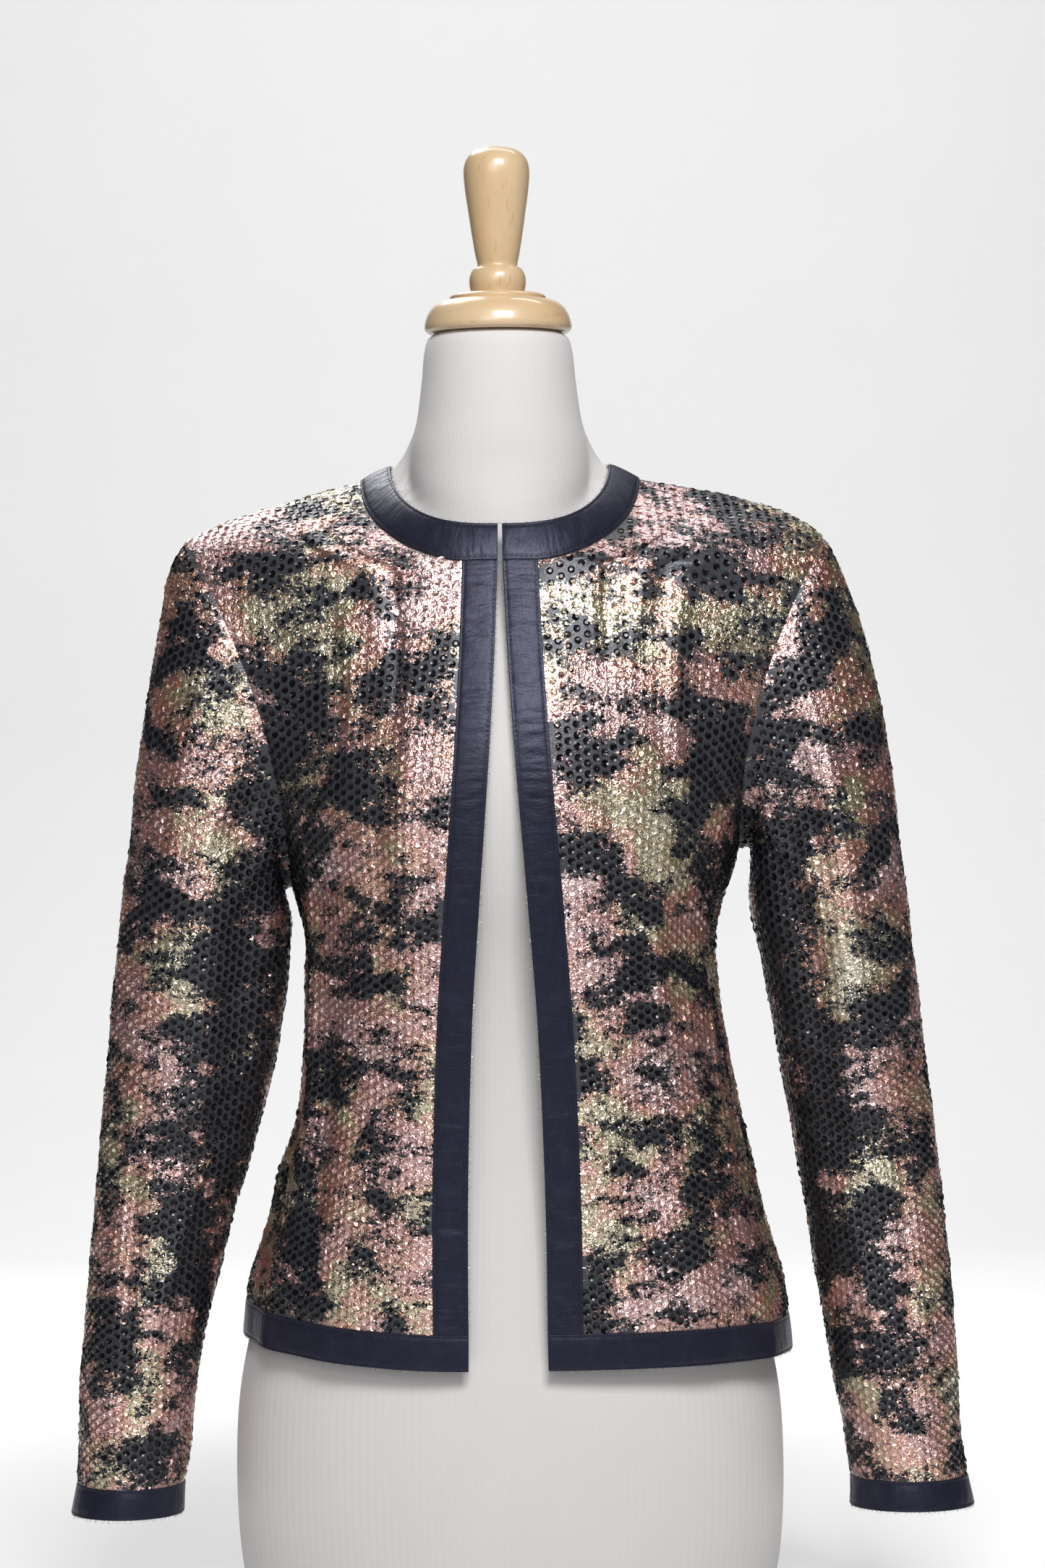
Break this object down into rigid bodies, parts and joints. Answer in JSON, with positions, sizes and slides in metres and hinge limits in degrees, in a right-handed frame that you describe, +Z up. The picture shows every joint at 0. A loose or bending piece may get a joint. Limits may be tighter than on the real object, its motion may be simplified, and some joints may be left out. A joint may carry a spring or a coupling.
{
  "type": "sequin jacket on a dress form",
  "caption": "Open-front waist-length jacket of foil-printed sequin net with satin bands at neck, front, hem and cuffs, worn on a limbless jersey dress form with a turned wooden cap.",
  "frame": {"origin": "middle of the base of the box round the whole part, on the plane of the form's flat underside", "axes": "+Z up along the form, -Y towards the jacket's open front, +X towards the wearer's left"},
  "size_m": [0.5693, 0.2553, 0.9334],
  "materials": {
    "sequin_cloth": "dark net covered in black sequins, with a worn rose, copper and pale gold foil print",
    "satin": "dark navy satin",
    "jersey": "off-white fine ribbed jersey",
    "beech": "satin varnish"
  },
  "bodies": {
    "root": {"front_right": "sequin_cloth", "front_left": "sequin_cloth", "back": "sequin_cloth", "sleeve_right": "sequin_cloth", "sleeve_left": "sequin_cloth", "front_band_right": "satin", "front_band_left": "satin", "neck_band": "satin", "hem_band": "satin", "cuff_band_right": "satin", "cuff_band_left": "satin", "form_body": "jersey", "neck_cap": "beech", "cap_handle": "beech"}
  },
  "joints": []
}
